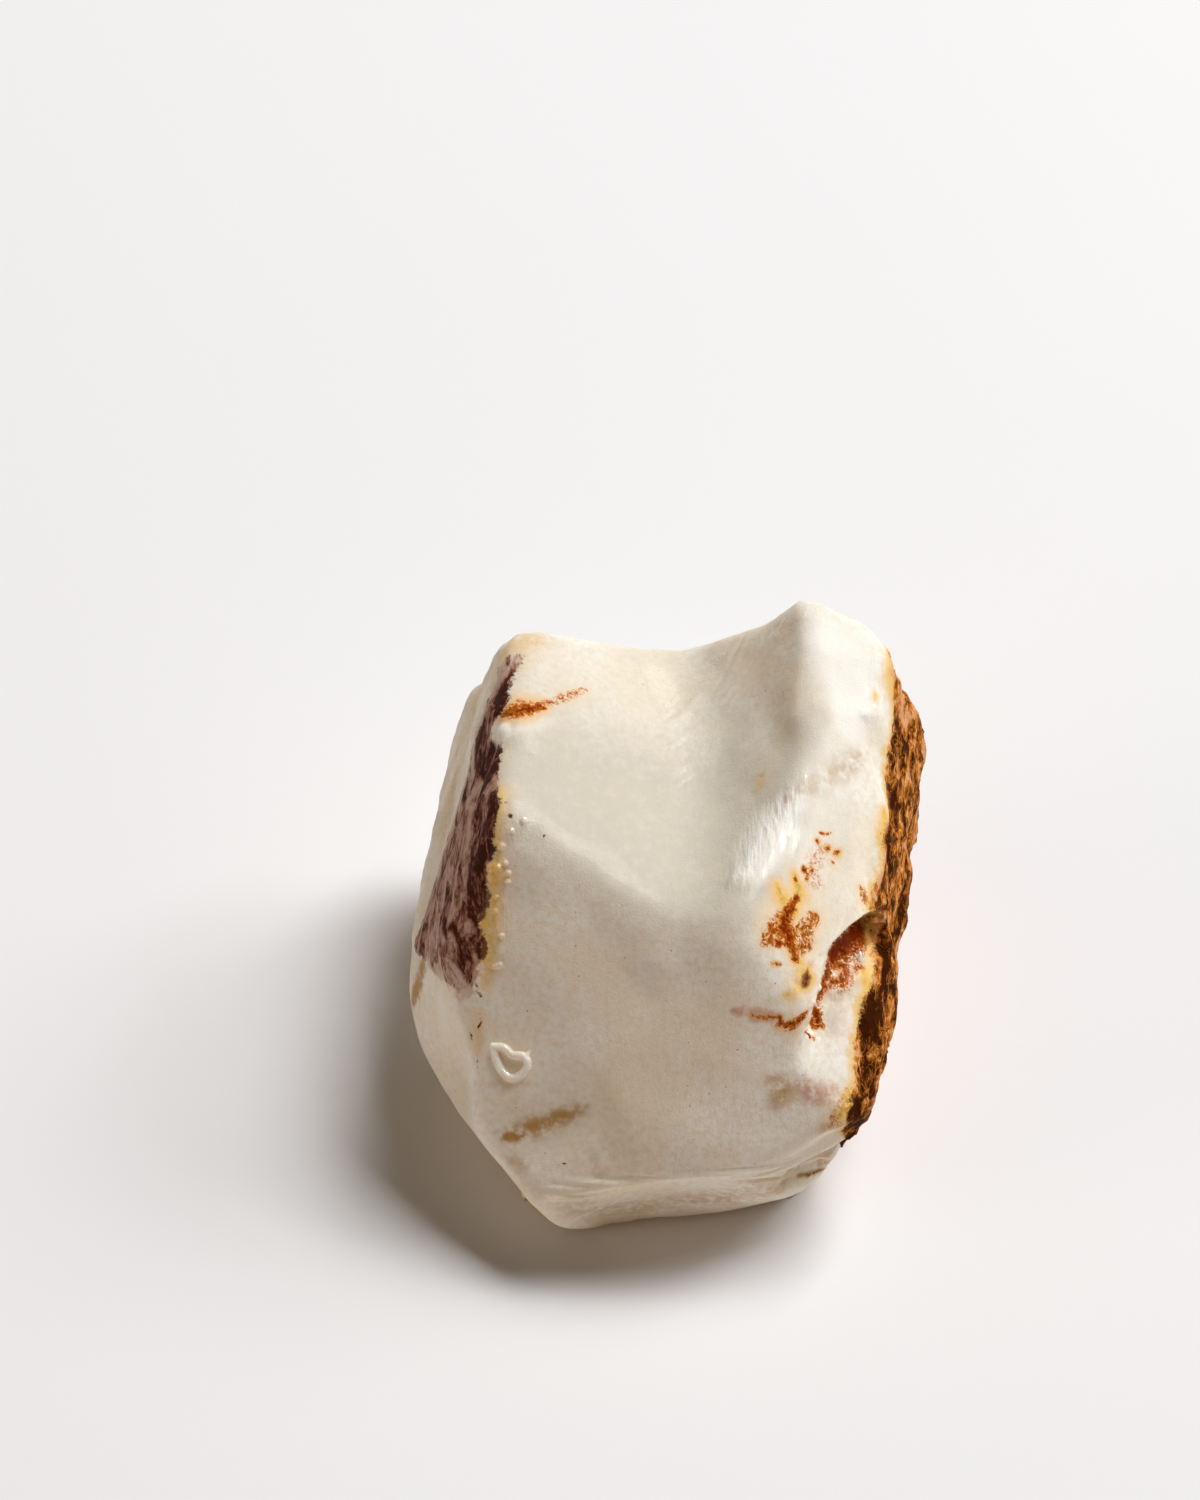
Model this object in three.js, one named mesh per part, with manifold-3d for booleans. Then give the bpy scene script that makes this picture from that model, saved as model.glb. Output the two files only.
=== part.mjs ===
// A rough white opal: one loose stone, broken to a block and worn smooth.
// A horn stands at its back right, with a dished saddle beside it, and a skin of brown host rock is left
// on its left and right sides. The front face leans back above an undercut, and a chip is broken out of
// the right edge. Millimetres, +Z up. The stone rests on its base in the plane z = 0, with the middle of
// its box over the origin.

import * as THREE from "three";
import { mergeVertices } from "three/addons/utils/BufferGeometryUtils.js";
import { ImprovedNoise } from "three/addons/math/ImprovedNoise.js";
import Module from "manifold-3d";

const vec = (x, y, z) => new THREE.Vector3(x, y, z);

// A broken face of the stone: a point that it passes through, and the way it looks.
const face = (point, looks) => ({ point, normal: looks.clone().normalize() });

// Driving dimensions: where the broken faces stand, measured from under the middle of the stone.
const SHOULDER = face(vec(-10.5, -0.5, 26), vec(0.16, 0.01, 1));
const SADDLE = face(vec(0, 17, 21.6), vec(0.48, 0.03, 1));
const HORN_FLANK = face(vec(8.4, 17, 27.3), vec(-0.71, -0.26, 0.66));
const HORN_FOOT = face(vec(7.35, 4.5, 22.9), vec(-0.5, 0.2, 0.9));
const RIGHT_TOP = face(vec(9.45, 17.4, 30.5), vec(0.56, -0.31, 0.77));
const FRONT_LEFT = face(vec(-10.5, -0.5, 25.5), vec(-0.29, -0.72, 0.66));
const FRONT_RIGHT = face(vec(3.85, -11.9, 18.6), vec(0.13, -0.855, 0.5));
const LEFT_CRUST = face(vec(-11.8, 6, 26), vec(-0.93, 0.085, 0.345));
const RIGHT_CRUST = face(vec(16.8, 4, 15), vec(0.93, -0.19, 0.31));
const PLAIN_SIDES = [
  face(vec(-17, 7, 10.5), vec(-0.9, 0.28, -0.35)), // left, undercut
  face(vec(-14, -10.9, 13.6), vec(-0.92, -0.36, 0.15)), // left front
  face(vec(-12.1, -15.9, 8), vec(-0.767, -0.494, -0.41)), // left front, undercut
  face(vec(16.9, 0.5, 13), vec(0.92, -0.04, -0.36)), // right, undercut
  face(vec(17.2, 15, 22), vec(0.78, 0.6, 0.2)), // right back
  face(vec(13.6, -15, 10.75), vec(0.82, -0.42, -0.38)), // right front, undercut
  face(vec(2, 18, 25), vec(0, 1, 0.12)), // back
  face(vec(0, 18.8, 14), vec(0, 0.95, -0.3)), // back, undercut
  face(vec(-5.7, -16.6, 0), vec(0.17, -0.86, -0.47)), // front, undercut
];
const BASE = face(vec(0, 0, -0.6), vec(0, 0, -1));

// The chip out of the right edge: what lies beyond its floor and both its walls is gone.
const CHIP_FLOOR = face(vec(11, -5.2, 17.4), vec(0.55, -0.36, 0.75));
const CHIP_WALLS = [
  face(vec(11.9, -5.7, 18.8), vec(0.62, -0.83, -0.2)),
  face(vec(11.9, -5.7, 18.8), vec(0.95, -0.43, 0.04)),
];

// The ledge at the lower right: below its lip, the front is gone as far back as its floor.
const LEDGE_FLOOR = face(vec(5.5, -17.7, 8), vec(0.46, -0.88, 0.1));
const LEDGE_LIP = face(vec(8.4, -16.5, 9.4), vec(0.25, 0, -1));

// Hollows worn into the left, the front and the back: a line with a round cutter run along it.
const hollow = (start, end, radius) => ({ line: new THREE.Line3(start, end), radius });
const HOLLOWS = [
  hollow(vec(-18.9, -11.2, 9), vec(-18.9, -12.2, 12), 5.3), // the dent in the left front
  hollow(vec(-12.2, -16.4, 10.3), vec(-6.3, -15.9, 13.5), 2.5), // the groove across the front
  hollow(vec(-6, 31.2, 12), vec(-1, 31.2, 14), 14), // the scoop in the back
];

// How softly the faces run into each other, in mm: each is about the radius that the wear has left there.
const DISH_WEAR = 2.0;
const SADDLE_WEAR = 0.8;
const HORN_WEAR = 0.7;
const FRONT_WEAR = 1.2;
const RIDGE_WEAR = 0.55;
const SIDE_WEAR = 0.55;
const CHIP_WEAR = 0.25;
const HOLLOW_WEAR = 0.4;

// The gentle swell of the worn faces, and the long ribs of the host rock on the two sides.
const SWELL_HEIGHT = 0.35;
const SWELL_LENGTH = 7.5;
const RIB_HEIGHT = 0.55;
const RIB_LENGTH = 7;
const RIB_WIDTH = 1.9;
const CRUST_DEPTH = 1.1; // how far below its face the crust's ribs fade out

// The mesh: rays from a point deep inside, from which the whole surface is in sight,
// one through each vertex of a ball.
const HEART = vec(4, 5, 9);
const BALL_SPLITS = 23;
const RAY_REACH = 40;
const RAY_HALVINGS = 36;
const CUTTER_SIZE = 100;

const noise = new ImprovedNoise();
const beyond = (side, p) => side.normal.dot(p.clone().sub(side.point));

// The largest of several distances, with the corners between them worn round.
function wornMax(distances, wear) {
  const top = Math.max(...distances);
  const sum = distances.reduce((total, d) => total + Math.exp((d - top) / wear), 0);
  return top + wear * Math.log(sum);
}

const wornMin = (distances, wear) => -wornMax(distances.map((d) => -d), wear);

// How far a point lies inside a hollow's cutter.
function within(cut, p) {
  const nearest = cut.line.closestPointToPoint(p, true, new THREE.Vector3());
  return cut.radius - nearest.distanceTo(p);
}

// 1 on a crust face, fading to 0 a little way below it.
function crustCover(p) {
  const height = Math.max(beyond(LEFT_CRUST, p), beyond(RIGHT_CRUST, p));
  return THREE.MathUtils.smoothstep(height, -CRUST_DEPTH, 0);
}

// The swell and the ribs, as a height to add to the broken faces.
function relief(p) {
  const swell = noise.noise(p.x / SWELL_LENGTH, p.y / SWELL_LENGTH, p.z / SWELL_LENGTH);
  const along = (p.y + p.z) / (Math.SQRT2 * RIB_LENGTH);
  const across = (p.z - p.y) / (Math.SQRT2 * RIB_WIDTH);
  const rib = noise.noise(p.x / RIB_LENGTH, along, across);
  return SWELL_HEIGHT * swell + RIB_HEIGHT * crustCover(p) * rib;
}

// How far a point lies outside the stone, in mm.
function outside(p) {
  const saddle = wornMax([beyond(SHOULDER, p), beyond(SADDLE, p)], SADDLE_WEAR);
  const dish = wornMin([saddle, beyond(HORN_FLANK, p), beyond(HORN_FOOT, p)], DISH_WEAR);
  const top = wornMax([dish, beyond(RIGHT_TOP, p)], HORN_WEAR);
  const front = wornMax([beyond(FRONT_LEFT, p), beyond(FRONT_RIGHT, p)], FRONT_WEAR);
  const crown = wornMax([top, front], RIDGE_WEAR);
  const sides = [LEFT_CRUST, RIGHT_CRUST, ...PLAIN_SIDES, BASE].map((side) => beyond(side, p));
  const block = wornMax([crown, ...sides], SIDE_WEAR);
  const chip = wornMin([CHIP_FLOOR, ...CHIP_WALLS].map((side) => beyond(side, p)), CHIP_WEAR);
  const ledge = wornMin([beyond(LEDGE_FLOOR, p), beyond(LEDGE_LIP, p)], CHIP_WEAR);
  const chipped = wornMax([block, chip, ledge], CHIP_WEAR);
  return wornMax([chipped, ...HOLLOWS.map((cut) => within(cut, p))], HOLLOW_WEAR) - relief(p);
}

// The point where a ray from the heart leaves the stone.
function surfaceAlong(direction) {
  let inner = 0;
  let outer = RAY_REACH;
  for (let step = 0; step < RAY_HALVINGS; step++) {
    const middle = (inner + outer) / 2;
    if (outside(HEART.clone().addScaledVector(direction, middle)) > 0) outer = middle;
    else inner = middle;
  }
  return HEART.clone().addScaledVector(direction, inner);
}

// A closed geometry with only its positions, each shared by the triangles that meet there.
function merged(geometry) {
  geometry.deleteAttribute("normal");
  geometry.deleteAttribute("uv");
  return mergeVertices(geometry);
}

function wornBlock() {
  const geometry = merged(new THREE.IcosahedronGeometry(1, BALL_SPLITS));
  const position = geometry.getAttribute("position");
  for (let i = 0; i < position.count; i++) {
    const direction = new THREE.Vector3().fromBufferAttribute(position, i).normalize();
    const p = surfaceAlong(direction);
    position.setXYZ(i, p.x, p.y, p.z);
  }
  return geometry;
}

const wasm = await Module();
wasm.setup();

function solidOf(geometry) {
  const vertProperties = new Float32Array(geometry.getAttribute("position").array);
  const triVerts = new Uint32Array(geometry.getIndex().array);
  return new wasm.Manifold(new wasm.Mesh({ numProp: 3, vertProperties, triVerts }));
}

function geometryOf(solid) {
  const mesh = solid.getMesh();
  const geometry = new THREE.BufferGeometry();
  geometry.setAttribute("position", new THREE.BufferAttribute(new Float32Array(mesh.vertProperties), 3));
  geometry.setIndex(new THREE.BufferAttribute(new Uint32Array(mesh.triVerts), 1));
  return geometry;
}

// The worn block, cut flat at z = 0 where it rests, with the middle of its box moved over the origin.
function restingStone() {
  const below = new THREE.BoxGeometry(CUTTER_SIZE, CUTTER_SIZE, CUTTER_SIZE);
  below.translate(0, 0, -CUTTER_SIZE / 2);
  const geometry = geometryOf(solidOf(wornBlock()).subtract(solidOf(merged(below))));
  geometry.computeBoundingBox();
  const middle = geometry.boundingBox.getCenter(new THREE.Vector3());
  geometry.translate(-middle.x, -middle.y, 0);
  geometry.computeVertexNormals();
  return geometry;
}

const milkyOpal = new THREE.MeshStandardMaterial({ color: 0xe8e2d6, roughness: 0.3, metalness: 0 });
const stone = new THREE.Mesh(restingStone(), milkyOpal);
stone.name = "opal";

const opal = new THREE.Group();
opal.add(stone);

export default opal;
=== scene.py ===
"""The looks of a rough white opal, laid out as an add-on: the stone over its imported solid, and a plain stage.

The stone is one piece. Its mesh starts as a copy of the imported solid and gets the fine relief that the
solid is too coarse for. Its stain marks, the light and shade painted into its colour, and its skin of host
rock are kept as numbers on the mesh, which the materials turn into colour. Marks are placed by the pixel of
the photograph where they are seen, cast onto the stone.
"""

import math
from collections import namedtuple

import bmesh
import bpy
import numpy as np
from bpy.props import FloatProperty, FloatVectorProperty, PointerProperty
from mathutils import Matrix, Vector, noise
from mathutils.bvhtree import BVHTree
from mathutils.kdtree import KDTree


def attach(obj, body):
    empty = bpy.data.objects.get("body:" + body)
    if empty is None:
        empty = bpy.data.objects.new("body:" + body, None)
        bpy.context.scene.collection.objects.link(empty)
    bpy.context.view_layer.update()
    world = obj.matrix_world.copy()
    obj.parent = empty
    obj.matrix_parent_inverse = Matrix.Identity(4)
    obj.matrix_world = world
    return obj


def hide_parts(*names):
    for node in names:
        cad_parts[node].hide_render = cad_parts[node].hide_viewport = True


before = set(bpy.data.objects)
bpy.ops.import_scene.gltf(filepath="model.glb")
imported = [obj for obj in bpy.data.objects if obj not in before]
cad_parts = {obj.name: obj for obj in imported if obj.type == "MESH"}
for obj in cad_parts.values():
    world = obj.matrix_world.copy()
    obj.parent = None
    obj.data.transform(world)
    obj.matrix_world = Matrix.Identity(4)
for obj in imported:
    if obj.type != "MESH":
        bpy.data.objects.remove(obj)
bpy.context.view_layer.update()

bl_info = {
    "name": "Rough opal",
    "version": (1, 0, 0),
    "blender": (4, 5, 0),
    "location": "3D View > Sidebar > Opal",
    "description": "Dresses a packed opal in its relief, stains and host rock, and sets a plain stage",
    "category": "Object",
}

MM = 0.001  # metres in a millimetre

# The photograph's camera, in millimetres and pixels. It looks along +Y, and down.
PHOTO_WIDTH = 1200
PHOTO_HEIGHT = 1500
LENS = 144.0
SENSOR = 36.0
LOOKS_DOWN = math.radians(52)
AIM = Vector((-4.85, 16.41, 12.79))
AIM_DISTANCE = 430.0
FORWARD = Vector((0, math.cos(LOOKS_DOWN), -math.sin(LOOKS_DOWN)))
UPWARD = Vector((0, math.sin(LOOKS_DOWN), math.cos(LOOKS_DOWN)))
SIDEWARD = Vector((1, 0, 0))
EYE = AIM - FORWARD * AIM_DISTANCE

# The mesh: the longest edges, and how far past a mark it is cut finer, in mm.
COARSE_EDGE = 1.6
FINE_EDGE = 0.5
FINEST_EDGE = 0.14
BEAD_EDGE = 0.06
SKIN_MARGIN = 1.2
MARK_MARGIN = 0.2
STAIN_CUTS = 2.5  # edges across the half width of a stain
LUMP_CUTS = 4  # edges across the half width of a lump
CUTTING_PASSES = 4
REST = 0.02  # what is lower than this lies in the plane that the stone rests on
TRACE_STEP = 3.0  # pixels between the points of a line that is cast onto the stone
STRAY = 0.22  # how far the edges of stains stray, in mm
STRAY_LENGTH = 1.3
BROAD_STRAY_SEED = 17.0
FINE_STRAY_SEED = 41.0
STRAY_SEED_STEP = 9  # between the seeds of the three axes
WET_MARGIN = 1.6  # how far the wet look reaches past a bead, in half widths
WET_ROUGHNESS = 0.08
END_WIDTH = 0.55  # how wide a mark is at its ends, as a share of its middle
DOME_POWER = 1.5  # how steeply a lump rises
PAST_END_SHARE = 0.3  # how much of the distance counts beyond the ends of a line

# The fibres of the host rock run from the back top to the front foot, on both sides.
FIBRE = Vector((-0.11, -0.90, -0.42)).normalized()
FIBRE_TILT = math.atan2(FIBRE.z, FIBRE.y) + math.pi
FIBRE_SCALE = (1.0, 0.4, 1.0)  # how close the rock's noise lies across and along the fibres
RUN_SCALE = (2.2, 0.45, 0.45)  # the same for the wet runs on the opal

# Painted shade on the top of the stone, a duller beige on faces that look up: from which slopes, as the upward
# part of the normal, and how far back, in mm, it loses how much of that.
TOP_SHADE_SLOPES = (0.68, 0.92)
TOP_SHADE_FADES = (5, 15)
TOP_SHADE_LOSS = 0.75

# The skin of host rock. Depths are measured inside its edge, in mm.
LEFT_SKIN_LIMIT = -8  # the left skin lies to the left of this, in mm
RIGHT_SKIN_LIMIT = 9
FAR_OFF = -9.0  # the depth of what lies on neither side
KEPT_DEPTH = 5  # the deepest that the materials are told
SKIN_FADE = (-0.1, 0.5)  # where the rock's relief takes over from the opal's
BAND_FADE = (-1.8, 1.6)  # how the left skin's dark band fades across its outer edge
LEFT_PALING = 0.4
LEFT_PALING_DEPTHS = (0.8, 3.2)
RIGHT_DARK_DEPTHS = (0.1, 0.7)
RIGHT_PALING = 0.55
RIGHT_PALING_DEPTHS = (1.3, 2.6)
THINNING = 4.0  # how quickly the left skin gives way to opal where it grows pale, in mm
THIN_DARKNESS = 0.2  # how dark the left skin is where it ends
DRY_SKIN = 0.15  # how far inside its edge the host rock is dry right through, in mm
DRY_RUST = 0.25  # how strong rust is where the stone is dry right through
LEFT_RELIEF = 0.3  # how much of the relief the worn left side has kept

# Noise in the relief: its lengths in mm along x, y and z, and its seed.
Grain = namedtuple("Grain", "sizes seed")
RIBS = Grain((0.9, 4, 0.8), 3.1)
KNOBS = Grain((1.6, 2.6, 1.6), 8.6)
GRIT = Grain((0.35, 0.9, 0.35), 7.7)
SWELL = Grain((3.2, 3.2, 3.2), 11.3)
RIPPLE = Grain((1.3, 1.3, 1.3), 5.9)

# A mark on the stone: its name, the photograph's pixels that it passes, its half width in mm, and how
# strong it is.
Mark = namedtuple("Mark", "name line reach strength")

# Where the host rock meets the opal, from the back to the front, and where its dark band ends on the
# outside.
LEFT_SKIN_EDGE = (
    (528, 650), (517, 672), (511, 686), (510, 700), (500, 717), (490, 728), (493, 741),
    (504, 748), (501, 762), (498, 774), (500, 798), (499, 815), (495, 842), (494, 856),
    (488, 870), (489, 892), (484, 914), (481, 926), (485, 942), (481, 962), (478, 980),
    (468, 1004), (450, 992), (436, 975), (424, 960),
)
LEFT_BAND_EDGE = (
    (500, 668), (494, 691), (484, 709), (477, 728), (472, 747), (470, 767), (464, 786),
    (457, 811), (448, 838), (439, 868),
)
LEFT_FADES = (
    Mark("foot of the left skin", ((415, 970), (440, 995), (470, 1012)), 5.2, 1.0),
    Mark("top of the left skin", ((505, 640), (532, 640)), 4.0, 1.2),
)
RIGHT_TOP_END = Mark("golden end of the right skin", ((888, 655), (900, 690), (904, 712)), 2.4, 1.2)
RIGHT_SKIN_EDGE = (
    (887, 655), (891, 672), (893, 700), (893, 730), (886, 752), (885, 772), (886, 793),
    (890, 815), (882, 832), (882, 845), (884, 858), (878, 878), (868, 900), (874, 925),
    (873, 950), (872, 966), (870, 984), (861, 1002), (859, 1020), (854, 1040), (852, 1062),
    (856, 1082), (848, 1108), (842, 1130),
)

RUST = (
    Mark("streak off the left edge", ((504, 714), (522, 709), (542, 705)), 1.0, 0.9),
    Mark("tail of the streak", ((538, 706), (560, 699), (584, 691)), 0.7, 0.33),
    Mark(
        "core of the branched stain", ((797, 897), (787, 913), (783, 925), (788, 940), (796, 957)),
        0.75, 1.0,
    ),
    Mark("left branches", ((784, 914), (773, 930), (767, 942)), 1.15, 0.55),
    Mark("left twig", ((768, 938), (782, 943)), 0.6, 0.7),
    Mark("right branches", ((793, 934), (805, 927), (816, 919)), 1.1, 0.55),
    Mark("right twig", ((792, 948), (806, 946), (808, 934)), 0.9, 0.55),
    Mark("speck a", ((818, 841),), 0.3, 0.85),
    Mark("speck b", ((828, 849),), 0.32, 1.0),
    Mark("speck c", ((837, 853),), 0.32, 1.0),
    Mark("speck d", ((834, 862),), 0.2, 0.7),
    Mark("speck e", ((804, 867), (808, 872)), 0.3, 0.9),
    Mark("speck f", ((812, 870),), 0.26, 0.85),
    Mark("speck g", ((808, 877),), 0.3, 0.8),
    Mark("speck h", ((796, 880),), 0.32, 0.75),
    Mark("speck i", ((820, 832), (829, 832)), 0.2, 0.6),
    Mark("speck j", ((771, 964), (782, 966)), 0.16, 0.9),
    Mark("freckled patch", ((824, 848), (810, 874), (818, 884)), 1.7, 0.2),
    Mark("crack", ((745, 1015), (778, 1018)), 0.24, 0.5),
    Mark("hook of the crack", ((779, 1018), (781, 1027), (791, 1027), (799, 1021), (806, 1014)), 0.55, 0.7),
    Mark("patch by the right edge", ((861, 890), (868, 902)), 0.8, 0.6),
    Mark("right edge, upper", ((886, 832), (884, 850)), 0.7, 0.55),
    Mark("right foot", ((852, 1090), (843, 1110), (832, 1124)), 1.1, 0.36),
)
CHIP_RUST = (
    Mark("wall of the chip", ((833, 955), (842, 943), (860, 930), (880, 920)), 1.9, 1.2),
    Mark("edge of the chip", ((832, 955), (826, 972), (819, 996)), 1.0, 0.85),
    Mark("crumbs down the edge", ((816, 992), (813, 1008), (818, 1016), (813, 1026)), 0.85, 0.8),
    Mark("crumb a", ((821, 1026),), 0.42, 0.9),
    Mark("crumb b", ((806, 1032), (813, 1039)), 0.36, 0.8),
    Mark("crumb c", ((834, 986), (844, 985)), 0.3, 0.9),
    Mark("web over the lumps", ((833, 965), (848, 966), (862, 968)), 0.9, 0.65),
    Mark("web under the lumps", ((848, 966), (847, 981), (830, 984)), 0.9, 0.65),
)
OCHRE = (
    Mark("left finger of the branched stain", ((776, 886), (783, 899), (790, 910)), 0.9, 0.7),
    Mark("right finger of the branched stain", ((796, 877), (799, 893), (794, 911)), 0.95, 0.75),
    Mark("foot of the branched stain", ((797, 955), (802, 966)), 0.7, 0.5),
    Mark("gum bulb", ((494, 866), (493, 882)), 1.15, 0.62),
    Mark("gum seam", ((503, 790), (496, 815), (496, 850), (496, 905), (491, 945), (486, 985)), 1.0, 0.45),
    Mark("gum by the shadows", ((489, 890), (484, 925), (483, 960)), 0.7, 0.6),
    Mark("lower gum", ((480, 1010), (480, 1030), (477, 1055)), 0.7, 0.3),
    Mark("halo of the olive blob", ((797, 963), (806, 980), (792, 997)), 1.0, 0.45),
    Mark("olive blob", ((808, 970), (805, 987)), 0.75, 1.4),
    Mark("spot by the olive blob", ((789, 994),), 0.4, 0.8),
    Mark("patch in the chip", ((864, 972), (867, 986)), 0.8, 0.6),
    Mark("right edge, top", ((889, 668), (894, 690), (896, 700)), 1.0, 0.8),
    Mark("right edge, spot", ((875, 694), (876, 700)), 0.5, 0.5),
    Mark("right edge, fringe", ((884, 812), (886, 828), (883, 845)), 0.9, 0.75),
    Mark("right edge, lower fringe", ((870, 985), (862, 1004), (859, 1024)), 0.45, 0.6),
    Mark("right foot", ((853, 1090), (844, 1112)), 1.0, 0.4),
    Mark("smudge beside the horn", ((757, 788), (763, 778)), 0.6, 0.25),
    Mark("top of the left edge", ((498, 656), (518, 643), (540, 640)), 2.2, 0.24),
    Mark("outer band of the left side", ((490, 672), (472, 712), (458, 765), (444, 830)), 2.4, 0.26),
)
# Dark specks, lines and pores; the gum shadows and the sliver in the ledge are painted shade.
DARK = (
    Mark("upper gum speck", ((505, 803),), 0.25, 0.6),
    Mark("second gum speck", ((507, 815), (510, 817)), 0.3, 0.7),
    Mark("speck on the shoulder", ((545, 838),), 0.2, 0.7),
    # painted shade by the gum
    Mark("gum shadow", ((490, 896), (485, 908), (479, 922)), 0.5, 0.95),
    Mark("second gum shadow", ((484, 940), (482, 958)), 0.45, 0.95),
    Mark("third gum shadow", ((475, 976), (477, 990), (481, 997)), 0.25, 0.5),
    Mark("olive blob", ((808, 972), (805, 986)), 0.5, 0.4),
    Mark("line down the left", ((480, 1021), (479, 1027)), 0.16, 0.7),
    Mark("second line down the left", ((471, 1031), (472, 1041)), 0.15, 0.6),
    Mark("third line down the left", ((477, 1058), (478, 1068)), 0.15, 0.6),
    Mark("mark on the front", ((560, 1163), (568, 1163)), 0.13, 0.8),
    Mark("hair on the dish", ((742, 769), (747, 764)), 0.12, 0.8),
    Mark("pore on the front", ((737, 1049),), 0.13, 0.7),
    Mark("pore lower down", ((805, 1073),), 0.2, 0.55),
    # painted shade under the upper ledge
    Mark("sliver in the ledge", ((804, 1176), (815, 1172), (826, 1167)), 0.3, 0.4),
)
# Tan stains; the sliver in the ledge and the bevel of the foot are painted shade.
TAN_AND_SHADE = (
    Mark("top of the left edge", ((500, 655), (518, 643), (540, 640)), 2.4, 0.34),
    Mark("left outer stain", ((437, 925), (429, 948), (420, 975), (413, 1003)), 1.3, 1.0),
    Mark("horn flank", ((790, 625), (795, 680), (775, 725)), 2.4, 0.16),
    Mark("smudge beside the horn", ((755, 790), (762, 776)), 0.8, 0.5),
    Mark("smudge below the horn", ((788, 803), (792, 796)), 0.8, 0.36),
    Mark("band below the horn", ((805, 790), (830, 776), (860, 758)), 1.9, 0.42),
    Mark("brown stripe", ((503, 1137), (530, 1129), (560, 1117), (582, 1110)), 1.5, 0.75),
    Mark("stripe's left end", ((503, 1137), (522, 1134)), 0.9, 1.15),
    Mark("smudge under the stripe", ((510, 1160), (524, 1166)), 1.3, 0.42),
    Mark("smudge on the foot", ((594, 1155), (602, 1180)), 1.0, 0.3),
    Mark("below the ring", ((492, 1085), (535, 1083)), 1.2, 0.25),
    Mark("olive stain", ((772, 1082), (787, 1090), (776, 1104)), 1.9, 0.62),
    Mark("corner at the right foot", ((848, 1104), (834, 1118), (824, 1128)), 1.7, 0.45),
    Mark("halo at the right edge", ((880, 840), (872, 880)), 1.2, 0.28),
    # painted shade under the upper ledge
    Mark("sliver in the ledge", ((800, 1177), (815, 1172), (828, 1166)), 0.45, 0.9),
    Mark("low on the front", ((560, 1110), (640, 1160), (740, 1150)), 5.0, 0.16),
    # partly the stone's own tan and partly painted shade on the bevel that turns under the front edge
    Mark("bevel of the foot", ((570, 1212), (680, 1204), (780, 1190)), 3.2, 0.4),
)
# Pink stains; the band under the upper ledge is painted shade.
PINK_AND_SHADE = (
    Mark("crack band", ((733, 1012), (760, 1016), (780, 1018)), 0.8, 0.85),
    Mark("lower right", ((803, 1085), (818, 1096), (832, 1092)), 1.5, 0.85),
    Mark("end of the left skin", ((463, 985), (460, 1004)), 0.9, 0.5),
    Mark("chip", ((832, 962), (845, 980), (826, 992)), 1.8, 0.6),
    Mark("floor of the chip", ((842, 1000), (840, 1050)), 2.4, 0.3),
    Mark("by the crumbs", ((812, 1000), (808, 1030)), 0.9, 0.4),
    # painted shade under the upper ledge
    Mark("under the upper ledge", ((800, 1167), (826, 1156), (852, 1139)), 0.45, 0.4),
    Mark("front right", ((690, 1040), (720, 1130)), 5.0, 0.1),
)
# Whitening: the knob and beside it, the floor of the chip, the lumps and the foot of the left side are the
# opal's own white; the lip of the front edge, the horn's right shoulder and foot and the right top face are
# painted light.
MILK_AND_LIGHT = (
    Mark("knob on the left edge", ((505, 728), (503, 738)), 0.9, 0.95),
    Mark("beside the knob", ((518, 730), (545, 722)), 1.1, 0.5),
    Mark("floor of the chip", ((848, 1004), (845, 1040), (840, 1065)), 1.6, 0.5),
    Mark("largest lump", ((858, 954),), 0.9, 0.9),
    Mark("lump beside it", ((842, 950),), 0.5, 0.7),
    Mark("foot of the left side", ((440, 1000), (445, 1040)), 2.2, 0.5),
    # painted highlight along the lip of the front edge
    Mark("lip of the front edge", ((600, 1188), (690, 1178), (782, 1171), (826, 1152)), 0.6, 0.5),
    # painted light on the lit right shoulder of the horn, its foot and the right top face
    Mark("right shoulder of the horn", ((830, 640), (860, 680), (850, 720)), 4.5, 1.1),
    Mark("foot of the horn", ((750, 870), (770, 830), (800, 800)), 3.2, 0.8),
    Mark("right top face", ((830, 740), (820, 800), (805, 870)), 4.5, 0.45),
)

# a raised welt; the white it gets among the whitening marks is a painted highlight
RING = Mark(
    "ring on the front face",
    ((493, 1047), (498, 1066), (510, 1080), (523, 1075), (529, 1064), (524, 1055), (512, 1056), (505, 1047),
     (493, 1047)),
    0.27,
    0.28,
)
# Stains, with painted light and shade among them: a painted highlight on the ring, painted light on the lit
# faces, and painted shade under the ledge, by the gum and on the foot.
STAINS_AND_PAINTED_LIGHT = {
    "rust": RUST, "ochre": OCHRE, "specks_and_shade": DARK, "tan": TAN_AND_SHADE, "pink_and_shade": PINK_AND_SHADE,
    # the ring's white is a painted highlight
    "milk_and_light": (*MILK_AND_LIGHT, RING._replace(strength=2)),
}
HALO_REACH = 2.2  # how far the glow round a stain reaches, in half widths

# Relief on the stone, as marks whose strength is a height in mm.
LUMPS = (
    Mark("largest lump in the chip", ((858, 954),), 0.75, 0.42),
    Mark("lump beside it", ((843, 951),), 0.45, 0.25),
    Mark("middle lump", ((839, 974),), 0.6, 0.3),
    Mark("lower lump", ((841, 988),), 0.5, 0.22),
    Mark("rim lump", ((820, 989),), 0.4, 0.2),
    Mark("knob on the left edge", ((503, 731),), 0.8, 0.3),
    Mark("swelling on the front", ((655, 965),), 2.2, 0.22),
    Mark("hollow right of the horn's ridge", ((838, 622), (840, 660)), 4.2, -0.4),
    Mark("gum bulb", ((494, 872),), 0.8, 0.25),
    Mark("crumb a", ((818, 1012),), 0.4, 0.15),
    Mark("crumb b", ((814, 1003),), 0.35, 0.14),
    Mark("crumb c", ((821, 1026),), 0.35, 0.15),
)
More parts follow.
